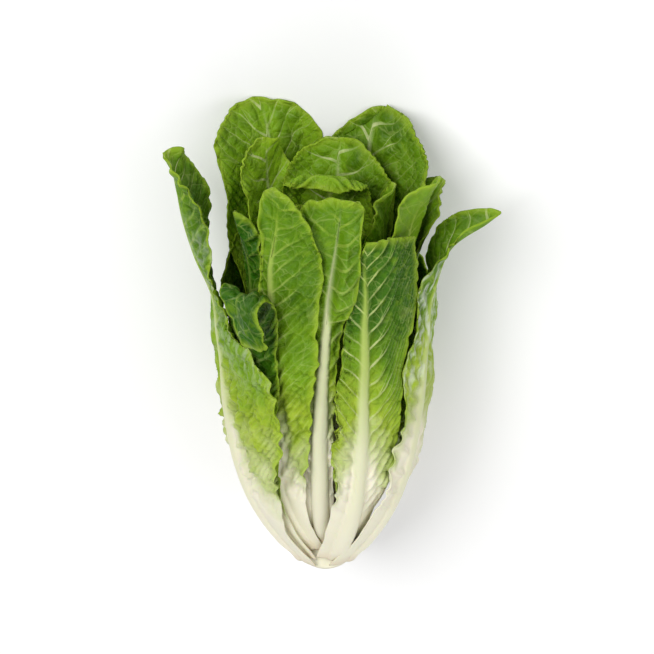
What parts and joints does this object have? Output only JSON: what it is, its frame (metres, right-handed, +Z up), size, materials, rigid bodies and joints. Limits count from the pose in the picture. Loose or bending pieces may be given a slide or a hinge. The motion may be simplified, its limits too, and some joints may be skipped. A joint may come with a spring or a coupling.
{
  "type": "romaine lettuce head",
  "caption": "Whole uncut romaine lettuce head lying on its back leaves: stout pale ribs, nested crinkled green blades and a cut stem base.",
  "frame": {"origin": "on the surface it rests on, under the middle of the bounding box", "axes": "+Y runs along the head from the cut stem to the leaf tips; +Z is up, and the side the picture shows faces +Z; +X is to the right seen from above with the tips away"},
  "size_m": [0.1632, 0.2452, 0.1124],
  "materials": {
    "leaf": "soft satin leaf, green blade grading to a cream rib and base",
    "stem": "matte moist cream cut stem"
  },
  "bodies": {
    "root": {"heart_left_leaf": "leaf", "hood_leaf": "leaf", "heart_right_leaf": "leaf", "right_inner_leaf": "leaf", "back_middle_leaf": "leaf", "left_shoulder_leaf": "leaf", "back_right_leaf": "leaf", "left_tongue_leaf": "leaf", "right_smooth_leaf": "leaf", "back_left_leaf": "leaf", "front_middle_leaf": "leaf", "right_far_leaf": "leaf", "right_front_leaf": "leaf", "front_left_leaf": "leaf", "under_left_leaf": "leaf", "under_right_leaf": "leaf", "front_right_leaf": "leaf", "left_flopped_leaf": "leaf", "under_middle_leaf": "leaf", "right_outer_leaf": "leaf", "left_outer_leaf": "leaf", "stem": "stem"}
  },
  "joints": []
}
